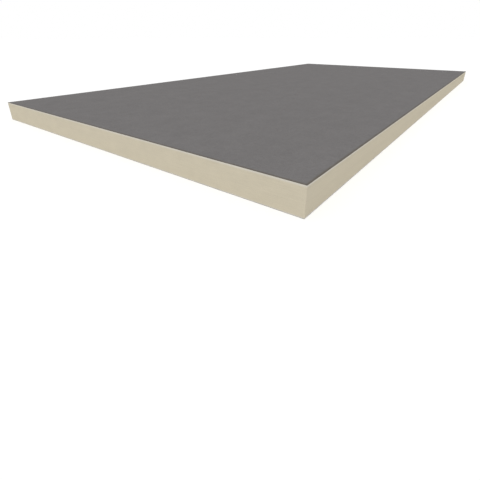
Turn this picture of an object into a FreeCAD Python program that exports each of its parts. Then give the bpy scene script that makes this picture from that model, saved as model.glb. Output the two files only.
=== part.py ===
# Roof insulation board: a slab of rigid foam with a reinforced facer bonded to each broad face.
# The board leaves the factory saw-cut square on all four sides, so the facers end flush with the foam.
# Frame: +X along the board, +Y across it, +Z up. The origin is the middle of the underside.
import FreeCAD, Part
import Sketcher
import os

# Driving dimensions in millimetres: alias, value, what it measures.
SIZES = (
    ("board_length", 2438.4, "long side, 8 ft"),
    ("board_width", 1219.2, "short side, 4 ft"),
    ("board_thickness", 63.5, "over both facers, 2.5 in"),
    ("facer_thickness", 0.8, "one reinforced facer sheet"),
)

# The layers from the underside up: label, thickness, height of the layer's underside.
LAYERS = (
    ("bottom_facer", "sizes.facer_thickness", "0"),
    ("foam_core", "sizes.board_thickness - 2 * sizes.facer_thickness", "sizes.facer_thickness"),
    ("top_facer", "sizes.facer_thickness", "sizes.board_thickness - sizes.facer_thickness"),
)

START, END = 1, 2  # the two ends of a sketch line
SKETCH_ORIGIN = (-1, 1)  # the point where a sketch's own two axes cross


def make_sheet(doc):
    """The spreadsheet that drives the model, one aliased row for each dimension."""
    sheet = doc.addObject("Spreadsheet::Sheet", "sizes")
    for row, (alias, value, meaning) in enumerate(SIZES, start=1):
        sheet.set(f"A{row}", alias)
        sheet.set(f"B{row}", str(value))
        sheet.set(f"C{row}", meaning)
        sheet.setAlias(f"B{row}", alias)
    doc.recompute()
    return sheet


def origin_plane(body, role):
    """One of a body's own three reference planes."""
    return next(feature for feature in body.Origin.OriginFeatures if feature.Role == role)


def draw_plan(body, sheet):
    """The board's plan: a rectangle centred on the origin, as long and as wide as the board."""
    plan = body.newObject("Sketcher::SketchObject", f"{body.Name}_plan")
    plan.AttachmentSupport = [(origin_plane(body, "XY_Plane"), "")]
    plan.MapMode = "FlatFace"

    half_length = sheet.board_length / 2
    half_width = sheet.board_width / 2
    corners = [
        FreeCAD.Vector(-half_length, -half_width),
        FreeCAD.Vector(half_length, -half_width),
        FreeCAD.Vector(half_length, half_width),
        FreeCAD.Vector(-half_length, half_width),
    ]
    sides = [Part.LineSegment(start, end) for start, end in zip(corners, corners[1:] + corners[:1])]
    front, right, back, left = plan.addGeometry(sides)
    for side, following in ((front, right), (right, back), (back, left), (left, front)):
        plan.addConstraint(Sketcher.Constraint("Coincident", side, END, following, START))
    for side in (front, back):
        plan.addConstraint(Sketcher.Constraint("Horizontal", side))
    for side in (right, left):
        plan.addConstraint(Sketcher.Constraint("Vertical", side))
    plan.addConstraint(Sketcher.Constraint("Symmetric", front, START, back, START, *SKETCH_ORIGIN))

    for name, kind, side, alias in (
        ("along", "DistanceX", front, "board_length"),
        ("across", "DistanceY", right, "board_width"),
    ):
        index = plan.addConstraint(Sketcher.Constraint(kind, side, START, side, END, sheet.get(alias)))
        plan.renameConstraint(index, name)
        plan.setExpression(f"Constraints.{name}", f"sizes.{alias}")
    return plan


def make_layer(doc, sheet, label, thickness, underside):
    """One layer of the board: the plan raised to the layer's thickness, at its height in the stack."""
    body = doc.addObject("PartDesign::Body", label)
    body.Label = label
    plan = draw_plan(body, sheet)
    slab = body.newObject("PartDesign::Pad", f"{label}_slab")
    slab.Profile = plan
    slab.setExpression("Length", thickness)
    body.Tip = slab
    body.setExpression("Placement.Base.z", underside)
    return body


def check(doc, layers):
    """Stops the build if any feature failed or any layer isn't one sound solid."""
    failed = [item.Label for item in doc.Objects if {"Invalid", "Error"} & set(item.State)]
    if failed:
        raise RuntimeError(f"these features failed: {failed}")
    for body in layers:
        shape = body.Shape
        if shape.isNull() or not shape.isValid() or len(shape.Solids) != 1:
            raise RuntimeError(f"{body.Label} isn't one valid solid")


def main():
    """Builds the board layer by layer and writes each layer to a file of its own."""
    doc = FreeCAD.newDocument("roof_insulation_board")
    sheet = make_sheet(doc)
    layers = [make_layer(doc, sheet, *layer) for layer in LAYERS]
    doc.recompute()
    check(doc, layers)

    os.makedirs("parts", exist_ok=True)
    for body in layers:
        body.Shape.exportStep(f"parts/{body.Label}.step")
        box = body.Shape.BoundBox
        extents = " x ".join(f"{extent:.1f}" for extent in (box.XLength, box.YLength, box.ZLength))
        print(f"{body.Label}: {extents} mm, from z {box.ZMin:.1f}")


main()
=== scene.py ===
# Looks of the roof insulation board: a sawn foam slab, two felt facers, a pale floor and soft light.
# Lengths are metres in the part's own frame: +X along the board, +Y across it, +Z up.
import math

import bpy
import numpy as np
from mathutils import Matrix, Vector


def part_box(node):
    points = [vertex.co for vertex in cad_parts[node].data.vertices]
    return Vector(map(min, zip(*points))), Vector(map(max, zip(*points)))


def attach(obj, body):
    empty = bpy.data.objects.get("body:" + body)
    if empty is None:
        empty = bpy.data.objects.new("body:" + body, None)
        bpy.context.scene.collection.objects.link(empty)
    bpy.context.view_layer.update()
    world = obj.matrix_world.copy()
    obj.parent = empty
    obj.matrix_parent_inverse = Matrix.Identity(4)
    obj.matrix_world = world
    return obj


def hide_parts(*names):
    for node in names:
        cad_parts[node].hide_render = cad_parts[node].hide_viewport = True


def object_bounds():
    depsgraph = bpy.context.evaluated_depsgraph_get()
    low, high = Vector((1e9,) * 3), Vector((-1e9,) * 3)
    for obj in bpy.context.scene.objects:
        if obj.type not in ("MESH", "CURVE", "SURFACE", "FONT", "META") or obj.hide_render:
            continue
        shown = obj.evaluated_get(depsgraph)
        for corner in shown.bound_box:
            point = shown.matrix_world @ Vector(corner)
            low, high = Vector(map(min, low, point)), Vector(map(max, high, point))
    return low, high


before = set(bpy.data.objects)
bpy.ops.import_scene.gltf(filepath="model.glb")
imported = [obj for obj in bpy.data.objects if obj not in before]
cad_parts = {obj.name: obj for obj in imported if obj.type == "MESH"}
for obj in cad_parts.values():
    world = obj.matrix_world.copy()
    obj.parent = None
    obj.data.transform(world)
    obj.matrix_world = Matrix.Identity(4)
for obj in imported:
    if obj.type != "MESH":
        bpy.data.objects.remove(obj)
cad_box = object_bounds()

MM = 0.001
BODY = "root"  # nothing on the board moves, so it is all one body
BAKE_MAP = "OFBake"  # the map that a piece's baked pictures are drawn on
SHARP_ANGLE = 40.0  # degrees between two faces, above which their edge stays crisp

# Camera: the near corner is the one at the left end of the front long edge.
CAMERA_FROM_NEAR_CORNER = (-0.451, -0.2075, 0.284)
CAMERA_HEADING = 37.42  # degrees from +X towards +Y
CAMERA_PITCH = -23.55  # degrees above the horizon
LENS_MM = 24.58
SENSOR_MM = 36.0
SHIFT_Y = -0.125

# Light levels, where 1 on the upper face shows a colour as it is written.
SKY_LEVEL = 0.55
SKY_WHITE = 1.0  # the sky as the camera sees it
KEY_ON_TOP = 0.45
KEY_ON_LEFT_END = 0.238
KEY_ON_FRONT_EDGE = 0.129
KEY_SOFTNESS = 35.0  # degrees across the lamp, as seen from the board

# Floor
FLOOR_BOUNCE = 0.8  # share of the light that it throws back
FLOOR_WHITE = 1.0  # the floor as the camera sees it
FLOOR_LIFT = 0.04  # a faint glow, which keeps it white around the board's shadow
FLOOR_REACH = 45.0
FLOOR_GAP = 0.1 * MM  # between the floor and the board

# Random relief: a RELIEF is pairs of a wavelength and a height, and a MOST is how deep it may go.
RIPPLE_WAVES = 24
RIPPLE_SPREAD = (0.7, 1.4)  # shortest and longest wave, as shares of the wavelength

# Foam slab
FOAM_SEED = 11
FOAM_STEP = 2.25 * MM  # size of the mesh's faces
ARRIS_RADIUS = 0.8 * MM  # of the upright corners
ARRIS_STEPS = 3
SAWN_RELIEF = ((6 * MM, 0.10 * MM), (28 * MM, 0.07 * MM), (160 * MM, 0.05 * MM))
SAWN_MOST = 0.44 * MM
LOWER_SKIN = 2 * MM  # dense foam beside a facer, which saws cleaner
UPPER_SKIN = 5 * MM  # deeper where the rising foam pressed against the facer
SKIN_SHARE = 0.35  # share of the relief that is left against the facer
PORES = 420
PORE_RADIUS = (1.6 * MM, 2.8 * MM)
PORE_DEPTH = (0.15 * MM, 0.55 * MM)
PORE_SPREAD = 3  # radii, past which a pore leaves no mark

# Facer sheets
TOP_SEED = 21
BOTTOM_SEED = 22
FACER_STEP = 9 * MM  # size of the mesh's faces
BORDER_WIDTH = 2 * MM  # strip along the border that the saw pressed down
BORDER_DIP = 0.2 * MM
WAVE_RELIEF = ((90 * MM, 0.05 * MM), (320 * MM, 0.06 * MM))
WAVE_MOST = 0.3 * MM
TRIM_RELIEF = ((14 * MM, 0.05 * MM), (60 * MM, 0.05 * MM))
TRIM_MOST = 0.25 * MM

# Bake maps: each area is its lower left and upper right corner, as shares of the map.
SIDES_AREA = ((0.006, 0.04), (0.994, 0.994))  # the foam's sawn sides, in strips one above the other
STRIPS = 8
STRIP_FILL = 0.93  # share of a strip's height that isn't a gap
CAP_AREA = ((0.006, 0.006), (0.03, 0.03))  # the foam's two glued faces
OPEN_AREA = ((0.006, 0.07), (0.994, 0.994))  # a facer's open face
RIM_AREA = ((0.006, 0.045), (0.994, 0.06))  # its cut edges
GLUED_AREA = ((0.006, 0.006), (0.994, 0.035))  # its glued face

# Colours, linear.
FOAM_CREAM = (0.634, 0.574, 0.446)
SKIN_CREAM = (0.720, 0.690, 0.625)
FACER_GREY = (0.183, 0.176, 0.175)
RIM_BROWN = (0.132, 0.117, 0.094)

# Tones that make a colour lighter and darker: grain, stretch along each axis, share up and down.
NOISE_MEAN = 0.5
NOISE_DETAIL = 2.0  # finer noises on top of the first
FELT_TONES = (
    (0.7 * MM, (1, 1, 1), 0.10),  # grain of the felt
    (8 * MM, (1.6, 1, 1), 0.06),  # tufts
    (60 * MM, (1, 1, 1), 0.08),  # clouds
    (18 * MM, (40, 1, 1), 0.03),  # streaks along the run of the sheet
)
FOAM_TONES = (
    (0.8 * MM, (1, 1, 1), 0.12),  # cells
    (1.2 * MM, (50, 50, 1), 0.05),  # saw streaks along the edges
    (22 * MM, (40, 1.5, 1), 0.05),  # flow of the rising foam
)

# Glass strands in the felt
STRAND_TURNS = (8, 47, 83, 121, 158)  # the ways that they lie, in degrees
STRAND_GRAIN = 2.0 * MM  # of the noise that they follow
STRAND_STRETCH = 14
STRAND_DETAIL = 0.0
STRAND_SHARP = 22.0  # the more, the thinner the strands
STRAND_DRIFT = 9 * MM  # how far they stray sideways
STRAND_BEND = 45 * MM  # how soon they turn back
STRAND_MEAN = 0.45  # of the pattern over the sheet
STRAND_PALE = 0.16  # how much paler than the felt they are

# Finish of the felt
FELT_ROUGH = 0.98
STRAND_ROUGH = 0.80
FELT_SPECULAR = 0.004
FELT_BUMP = 0.06 * MM
RIM_REACH = 7 * MM  # strip along the border that the saw browned
RIM_DRIFT = 3 * MM  # how far its inner side strays
RIM_BEND = 14 * MM  # how soon it turns back

# Finish of the foam
FOAM_ROUGH = 0.93
FOAM_ROUGH_SWING = 0.12
FOAM_SPECULAR = 0.1
FOAM_BUMP = 0.3 * MM
PIN_SPACING = 9 * MM  # from one pinhole to the next
PIN_RADIUS = 0.8 * MM
# painted shade: the share by which the pinholes are drawn darker, standing in for shade falling in them
PIN_PAINTED_SHADE = 0.30  # how much darker than the foam they are


# Random relief

def ripple(points, wavelength, rng):
    """Smooth random relief of about that wavelength at 2-D points, mostly between -1 and 1."""
    heading = rng.uniform(0, 2 * math.pi, RIPPLE_WAVES)
    length = wavelength * rng.uniform(*RIPPLE_SPREAD, RIPPLE_WAVES)
    phase = rng.uniform(0, 2 * math.pi, RIPPLE_WAVES)
    turns = np.stack([np.cos(heading), np.sin(heading)]) * (2 * math.pi / length)
    return np.cos(points @ turns + phase).sum(axis=1) / math.sqrt(2 * RIPPLE_WAVES)


def unevenness(points, relief, most, rng):
    """How far an uneven face lies behind its true plane at 2-D points, from 0 to the most."""
    depth = np.full(len(points), most / 2)
    for wavelength, height in relief:
        depth += height * ripple(points, wavelength, rng)
    return np.clip(depth, 0, most)


# Meshes

def make_piece(name, vertices, faces, uv, node, material):
    """A mesh piece in place of one node, smooth but for its real edges, with a map for baking."""
    mesh = bpy.data.meshes.new(name)
    mesh.from_pydata(vertices.tolist(), [], faces)
    mesh.validate()
    mesh.shade_smooth()
    mesh.set_sharp_from_angle(angle=math.radians(SHARP_ANGLE))
    layer = mesh.uv_layers.new(name=BAKE_MAP)
    layer.uv.foreach_set("vector", np.asarray(uv, np.float32).ravel())
    mesh.materials.append(material)
    piece = bpy.data.objects.new(name, mesh)
    bpy.context.scene.collection.objects.link(piece)
    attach(piece, BODY)
    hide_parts(node)


def grid_faces(grid):
    """The four-sided faces between the neighbouring points of a grid of point numbers."""
    corners = [grid[:-1, :-1], grid[1:, :-1], grid[1:, 1:], grid[:-1, 1:]]
    return np.stack(corners, axis=-1).reshape(-1, len(corners))


def on_map(shares, area):
    """Places on a bake map for pairs of shares, from 0 to 1 across and up one area of it."""
    low, high = np.array(area)
    return low + shares * (high - low)


def corners_of(left, right, below, above):
    """The four corners of each cell, in the order of a face's corners, one after the other."""
    across = np.stack([left, right, right, left], axis=-1)
    up = np.stack([below, below, above, above], axis=-1)
    return np.stack([across, up], axis=-1).reshape(-1, 2)


# Foam slab

def slab_plan(half_x, half_y):
    """The slab's plan as a closed ring with small round corners: its points and the way in at each."""
    points = []
    inward = []
    corners = ((1, -1, half_y), (1, 1, half_x), (-1, 1, half_y), (-1, -1, half_x))
    for quarter, (side_x, side_y, half_side) in enumerate(corners):
        centre = np.array([side_x * (half_x - ARRIS_RADIUS), side_y * (half_y - ARRIS_RADIUS)])
        for step in range(ARRIS_STEPS + 1):
            angle = math.radians(90 * (quarter - 1 + step / ARRIS_STEPS))
            out = np.array([math.cos(angle), math.sin(angle)])
            points.append(centre + ARRIS_RADIUS * out)
            inward.append(-out)
        along = np.array([-out[1], out[0]])
        straight = 2 * (half_side - ARRIS_RADIUS)
        count = round(straight / FOAM_STEP)
        start = points[-1]
        for step in range(1, count):
            points.append(start + along * straight * step / count)
            inward.append(-out)
    return np.array(points), np.array(inward)


def sawn_depth(run, height, low, high, rng):
    """How far the saw-cut foam lies behind its true face at each point of the sides."""
    spots = np.stack([run, height], axis=1)
    out_of_skin = np.minimum((height - low) / LOWER_SKIN, (high - height) / UPPER_SKIN).clip(0, 1)
    depth = unevenness(spots, SAWN_RELIEF, SAWN_MOST, rng)
    depth *= SKIN_SHARE + (1 - SKIN_SHARE) * out_of_skin
    for _ in range(PORES):
        centre = np.array([rng.uniform(0, run.max()), rng.uniform(low + LOWER_SKIN, high - UPPER_SKIN)])
        radius = rng.uniform(*PORE_RADIUS)
        deepest = rng.uniform(*PORE_DEPTH)
        near = np.abs(run - centre[0]) < PORE_SPREAD * radius
        away = np.linalg.norm(spots[near] - centre, axis=1) / radius
        depth[near] += deepest * np.exp(-away ** 2)
    return depth


def side_map(run, rows):
    """Places on the bake map for the corners of the sides' faces, in strips one above the other."""
    columns = len(run) - 1
    strip = np.arange(columns) * STRIPS // columns
    first = np.searchsorted(strip, np.arange(STRIPS))
    longest = np.diff(run[np.append(first, columns)]).max()
    left = (run[:-1] - run[first[strip]]) / longest
    right = (run[1:] - run[first[strip]]) / longest
    rise = np.linspace(0, STRIP_FILL, rows + 1)
    below = (strip[:, None] + rise[:-1]) / STRIPS
    above = (strip[:, None] + rise[1:]) / STRIPS
    shares = corners_of(np.repeat(left, rows), np.repeat(right, rows), below.ravel(), above.ravel())
    return on_map(shares, SIDES_AREA)


def make_foam(material):
    """The foam slab: four sawn sides in a fine grid, and two flat faces under the facers."""
    rng = np.random.default_rng(FOAM_SEED)
    low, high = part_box("foam_core")
    ring, inward = slab_plan(high.x, high.y)
    steps = np.linalg.norm(np.roll(ring, -1, axis=0) - ring, axis=1)
    run = np.concatenate([[0], np.cumsum(steps)])
    columns = len(ring)
    rows = round((high.z - low.z) / FOAM_STEP)
    heights = np.linspace(low.z, high.z, rows + 1)

    height_at = np.tile(heights, columns)
    depth = sawn_depth(np.repeat(run[:-1], rows + 1), height_at, low.z, high.z, rng)
    plan = np.repeat(ring, rows + 1, axis=0) + np.repeat(inward, rows + 1, axis=0) * depth[:, None]
    vertices = np.column_stack([plan, height_at])

    grid = np.arange(columns * (rows + 1)).reshape(columns, rows + 1)
    sides = grid_faces(np.vstack([grid, grid[:1]]))
    under = grid[::-1, 0]
    over = grid[:, -1]
    faces = sides.tolist() + [under.tolist(), over.tolist()]
    caps = (plan + (high.x, high.y)) / (2 * high.x)
    uv = [side_map(run, rows), on_map(caps[under], CAP_AREA), on_map(caps[over], CAP_AREA)]
    make_piece("foam_slab", vertices, faces, np.concatenate(uv), "foam_core", material)


# Facer sheets

def sheet_lines(low, high):
    """Places of the grid lines across a sheet: even steps, and a narrow strip at each border."""
    count = round((high - low) / FACER_STEP)
    even = np.linspace(low + BORDER_WIDTH, high - BORDER_WIDTH, count + 1)
    return np.concatenate([[low], even, [high]])


def make_facer(name, node, outer_up, seed, material):
    """One facer: a thin felt sheet, a little wavy on its open face and trimmed along its edges."""
    rng = np.random.default_rng(seed)
    low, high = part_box(node)
    half = np.array([high.x, high.y])
    x = sheet_lines(low.x, high.x)
    y = sheet_lines(low.y, high.y)
    plan = np.stack(np.meshgrid(x, y, indexing="ij"), axis=-1).reshape(-1, 2)
    at_border = np.isclose(np.abs(plan), half)

    dip = unevenness(plan, WAVE_RELIEF, WAVE_MOST, rng) + BORDER_DIP * at_border.any(axis=1)
    trim = unevenness(plan, TRIM_RELIEF, TRIM_MOST, rng)
    trimmed = plan - np.sign(plan) * at_border * trim[:, None]
    glued = np.full(len(plan), low.z if outer_up else high.z)
    bottom, top = (glued, high.z - dip) if outer_up else (low.z + dip, glued)
    vertices = np.concatenate([np.column_stack([trimmed, bottom]), np.column_stack([trimmed, top])])

    grid = np.arange(len(plan)).reshape(len(x), len(y))
    quads = grid_faces(grid)
    under = quads[:, ::-1]
    over = quads + len(plan)
    rim = np.concatenate([grid[:-1, 0], grid[-1, :-1], grid[:0:-1, -1], grid[0, :0:-1]])
    rim_next = np.roll(rim, -1)
    around = np.stack([rim, rim_next, rim_next + len(plan), rim + len(plan)], axis=-1)
    faces = under.tolist() + over.tolist() + around.tolist()

    shares = (plan + half) / (2 * half)
    under_area, over_area = (GLUED_AREA, OPEN_AREA) if outer_up else (OPEN_AREA, GLUED_AREA)
    stops = np.linspace(0, 1, len(rim) + 1)
    foot = np.zeros(len(rim))
    uv = [
        on_map(shares[under.ravel()], under_area),
        on_map(shares[quads.ravel()], over_area),
        on_map(corners_of(stops[:-1], stops[1:], foot, foot + 1), RIM_AREA),
    ]
    make_piece(name, vertices, faces, np.concatenate(uv), node, material)


# Material nodes

def empty_tree(owner):
    """The node tree of a material or world, with nothing in it."""
    owner.use_nodes = True
    owner.node_tree.nodes.clear()
    return owner.node_tree


def add(tree, kind, inputs=None, **settings):
    """A new node with these settings. An input, by name or number, gets a value or a node's output."""
    made = tree.nodes.new(kind)
    for name, value in settings.items():
        setattr(made, name, value)
    for key, value in (inputs or {}).items():
        if isinstance(value, bpy.types.NodeSocket):
            tree.links.new(value, made.inputs[key])
        else:
            made.inputs[key].default_value = value
    return made


def maths(tree, operation, *values, clamp=False):
    """The result of one operation on numbers."""
    made = add(tree, "ShaderNodeMath", dict(enumerate(values)), operation=operation, use_clamp=clamp)
    return made.outputs[0]


def vectors(tree, operation, *values):
    """The result of one operation on colours or places."""
    made = add(tree, "ShaderNodeVectorMath", dict(enumerate(values)), operation=operation)
    return made.outputs[0]


def noise(tree, place, grain, stretch, turn=0.0, detail=NOISE_DETAIL):
    """Cloudy noise of that grain, from 0 to 1, turned about Z and then stretched along each axis."""
    turning = {"Vector": place, "Angle": math.radians(turn)}
    turned = add(tree, "ShaderNodeVectorRotate", turning, rotation_type="Z_AXIS").outputs[0]
    sized = vectors(tree, "MULTIPLY", turned, tuple(1 / (grain * factor) for factor in stretch))
    made = add(tree, "ShaderNodeTexNoise", {"Vector": sized, "Scale": 1.0, "Detail": detail})
    return made.outputs["Fac"]


def drifted(tree, place, reach, grain):
    """The place moved about by slow noise, so that straight streaks come out curved."""
    drift = add(tree, "ShaderNodeTexNoise", {"Vector": place, "Scale": 1 / grain}).outputs["Color"]
    even = vectors(tree, "SUBTRACT", drift, (NOISE_MEAN, NOISE_MEAN, NOISE_MEAN))
    return vectors(tree, "MULTIPLY_ADD", even, (reach, reach, reach), place)


def toned(tree, tone, place, tones):
    """A brightness factor that noises swing up and down, and the noises, in the order of the tones."""
    noises = []
    for grain, stretch, share in tones:
        pattern = noise(tree, place, grain, stretch)
        swing = maths(tree, "SUBTRACT", pattern, NOISE_MEAN)
        tone = maths(tree, "MULTIPLY_ADD", swing, 2 * share, tone)
        noises.append(pattern)
    return tone, noises


def falling(tree, gap, reach):
    """1 where the gap is 0, falling to 0 where it is the reach or more."""
    return maths(tree, "SUBTRACT", 1.0, maths(tree, "DIVIDE", gap, reach), clamp=True)


def tinted(tree, colour, other, share):
    """The colour, turning into the other one as the share goes from 0 to 1."""
    change = tuple(there - here for here, there in zip(colour, other))
    return vectors(tree, "MULTIPLY_ADD", share, change, colour)


def new_material(name):
    """An empty material, with its tree, its surface shader and the place that is being shaded."""
    material = bpy.data.materials.new(name)
    tree = empty_tree(material)
    shader = add(tree, "ShaderNodeBsdfPrincipled")
    add(tree, "ShaderNodeOutputMaterial", {"Surface": shader.outputs["BSDF"]})
    place = add(tree, "ShaderNodeTexCoord").outputs["Object"]
    return material, tree, shader, place


def finish_surface(tree, shader, colour, roughness, height, bump):
    """Links a surface's colour and roughness to its shader, and the relief that the light picks out."""
    relief = add(tree, "ShaderNodeBump", {"Height": height, "Distance": bump})
    tree.links.new(colour, shader.inputs["Base Color"])
    tree.links.new(roughness, shader.inputs["Roughness"])
    tree.links.new(relief.outputs["Normal"], shader.inputs["Normal"])


# Felt

def strands(tree, place):
    """Glass strands lying every way in the felt, 1 along a strand and 0 between them."""
    place = drifted(tree, place, STRAND_DRIFT, STRAND_BEND)
    most = 0.0
    for turn in STRAND_TURNS:
        streak = noise(tree, place, STRAND_GRAIN, (STRAND_STRETCH, 1, 1), turn, STRAND_DETAIL)
        away = maths(tree, "ABSOLUTE", maths(tree, "SUBTRACT", streak, NOISE_MEAN))
        most = maths(tree, "MAXIMUM", falling(tree, away, 1 / STRAND_SHARP), most)
    return most


def browned(tree, place):
    """1 at the board's border, where the saw browned the felt, and 0 further in, in an uneven strip."""
    place = drifted(tree, place, RIM_DRIFT, RIM_BEND)
    parts = add(tree, "ShaderNodeSeparateXYZ", {"Vector": place}).outputs
    half = cad_box[1]
    to_end = maths(tree, "SUBTRACT", half.x, maths(tree, "ABSOLUTE", parts["X"]))
    to_side = maths(tree, "SUBTRACT", half.y, maths(tree, "ABSOLUTE", parts["Y"]))
    return falling(tree, maths(tree, "MINIMUM", to_end, to_side), RIM_REACH)


def facer_material():
    """Matte grey felt, a little mottled, with paler strands and a browner rim."""
    material, tree, shader, place = new_material("facer_felt")
    fibre = strands(tree, place)
    tone, noises = toned(tree, 1 - STRAND_MEAN * STRAND_PALE, place, FELT_TONES)
    tone = maths(tree, "MULTIPLY_ADD", fibre, STRAND_PALE, tone)
    felt_grey = tinted(tree, FACER_GREY, RIM_BROWN, browned(tree, place))
    colour = vectors(tree, "MULTIPLY", felt_grey, tone)
    roughness = maths(tree, "MULTIPLY_ADD", fibre, STRAND_ROUGH - FELT_ROUGH, FELT_ROUGH)
    grain = noises[0]
    height = maths(tree, "ADD", fibre, grain)
    shader.inputs["Specular IOR Level"].default_value = FELT_SPECULAR
    finish_surface(tree, shader, colour, roughness, height, FELT_BUMP)
    return material


# Foam

def skin(tree, place):
    """1 against a facer, where the foam is dense, and 0 in the middle of the slab."""
    low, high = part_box("foam_core")
    height = add(tree, "ShaderNodeSeparateXYZ", {"Vector": place}).outputs["Z"]
    lower = falling(tree, maths(tree, "SUBTRACT", height, low.z), LOWER_SKIN)
    upper = falling(tree, maths(tree, "SUBTRACT", high.z, height), UPPER_SKIN)
    return maths(tree, "MAXIMUM", lower, upper)


def pinholes(tree, place):
    """Small voids that the saw cut open, 1 in the middle of a void and 0 outside it, for their relief
    and for the painted shade in them.
    """
    cells = add(tree, "ShaderNodeTexVoronoi", {"Vector": place, "Scale": 1 / PIN_SPACING})
    return falling(tree, cells.outputs["Distance"], PIN_RADIUS / PIN_SPACING)


def foam_material():
    """Cream foam as the saw leaves it: cells, streaks, pinholes with painted shade in them and a paler
    skin beside each facer.
    """
    material, tree, shader, place = new_material("sawn_foam")
    tone, noises = toned(tree, 1.0, place, FOAM_TONES)
    cells, saw = noises[:2]
    pin_relief_and_painted_shade = pinholes(tree, place)
    # painted shade: the pinholes are drawn darker, as if shade fell in their hollows
    tone = maths(tree, "MULTIPLY_ADD", pin_relief_and_painted_shade, -PIN_PAINTED_SHADE, tone)
    cream = tinted(tree, FOAM_CREAM, SKIN_CREAM, skin(tree, place))
    colour = vectors(tree, "MULTIPLY", cream, tone)
    swing = maths(tree, "SUBTRACT", cells, NOISE_MEAN)
    roughness = maths(tree, "MULTIPLY_ADD", swing, FOAM_ROUGH_SWING, FOAM_ROUGH)
    height = maths(tree, "SUBTRACT", maths(tree, "ADD", cells, saw), pin_relief_and_painted_shade)
    shader.inputs["Specular IOR Level"].default_value = FOAM_SPECULAR
    finish_surface(tree, shader, colour, roughness, height, FOAM_BUMP)
    return material


# Stage

def grey(level):
    """An even grey of that level, as a node's colour takes it."""
    return (level, level, level, 1.0)


def split_by_ray(tree, as_light, as_seen):
    """One shader for the light that a thing throws, and one for the thing as seen or mirrored."""
    path = add(tree, "ShaderNodeLightPath").outputs
    mirrored = maths(tree, "MAXIMUM", path["Is Glossy Ray"], path["Is Transmission Ray"])
    seen = maths(tree, "MAXIMUM", path["Is Camera Ray"], mirrored)
    return add(tree, "ShaderNodeMixShader", {0: seen, 1: as_light.outputs[0], 2: as_seen.outputs[0]})


def make_world():
    """An even white sky: white to look at, and weaker as light."""
    world = bpy.data.worlds.new("sky")
    bpy.context.scene.world = world
    tree = empty_tree(world)
    light = add(tree, "ShaderNodeBackground", {"Color": grey(1), "Strength": SKY_LEVEL})
    white = add(tree, "ShaderNodeBackground", {"Color": grey(1), "Strength": SKY_WHITE})
    shown = split_by_ray(tree, light, white)
    add(tree, "ShaderNodeOutputWorld", {"Surface": shown.outputs[0]})


def make_key():
    """One broad soft lamp over the camera's left shoulder."""
    way = Vector((-KEY_ON_LEFT_END, -KEY_ON_FRONT_EDGE, KEY_ON_TOP))
    data = bpy.data.lights.new("key", "SUN")
    data.energy = way.length * math.pi
    data.angle = math.radians(KEY_SOFTNESS)
    key = bpy.data.objects.new("key", data)
    key.rotation_euler = way.to_track_quat("Z", "Y").to_euler()
    bpy.context.scene.collection.objects.link(key)


def floor_material():
    """A pale floor that shows white, keeps the board's shadow and throws less light than it shows."""
    material = bpy.data.materials.new("pale_floor")
    tree = empty_tree(material)
    bounce = add(tree, "ShaderNodeBsdfDiffuse", {"Color": grey(FLOOR_BOUNCE)})
    white = add(tree, "ShaderNodeBsdfDiffuse", {"Color": grey(FLOOR_WHITE)})
    lift = add(tree, "ShaderNodeEmission", {"Strength": FLOOR_LIFT})
    lifted = add(tree, "ShaderNodeAddShader", {0: white.outputs[0], 1: lift.outputs[0]})
    shown = split_by_ray(tree, bounce, lifted)
    add(tree, "ShaderNodeOutputMaterial", {"Surface": shown.outputs[0]})
    return material


def make_floor():
    """The floor, a hair under the board, reaching past all that the camera sees."""
    corners = [(x * FLOOR_REACH, y * FLOOR_REACH, 0) for x, y in ((-1, -1), (1, -1), (1, 1), (-1, 1))]
    mesh = bpy.data.meshes.new("floor")
    mesh.from_pydata(corners, [], [(0, 1, 2, 3)])
    mesh.materials.append(floor_material())
    floor = bpy.data.objects.new("floor", mesh)
    floor.location.z = -FLOOR_GAP
    bpy.context.scene.collection.objects.link(floor)


def make_camera():
    """The camera, held upright, close to the near corner and looking down across the board."""
    heading = math.radians(CAMERA_HEADING)
    pitch = math.radians(CAMERA_PITCH)
    level = math.cos(pitch)
    ahead = Vector((level * math.cos(heading), level * math.sin(heading), math.sin(pitch)))
    near_corner = cad_box[0]
    data = bpy.data.cameras.new("camera")
    data.lens = LENS_MM
    data.sensor_width = SENSOR_MM
    data.shift_y = SHIFT_Y
    camera = bpy.data.objects.new("camera", data)
    camera.location = near_corner + Vector(CAMERA_FROM_NEAR_CORNER)
    camera.rotation_euler = ahead.to_track_quat("-Z", "Y").to_euler()
    bpy.context.scene.collection.objects.link(camera)
    bpy.context.scene.camera = camera


# The scene
bpy.context.scene.view_settings.view_transform = "Standard"
make_camera()
make_world()
make_key()
make_floor()

felt = facer_material()
make_foam(foam_material())
make_facer("top_facer_sheet", "top_facer", outer_up=True, seed=TOP_SEED, material=felt)
make_facer("bottom_facer_sheet", "bottom_facer", outer_up=False, seed=BOTTOM_SEED, material=felt)
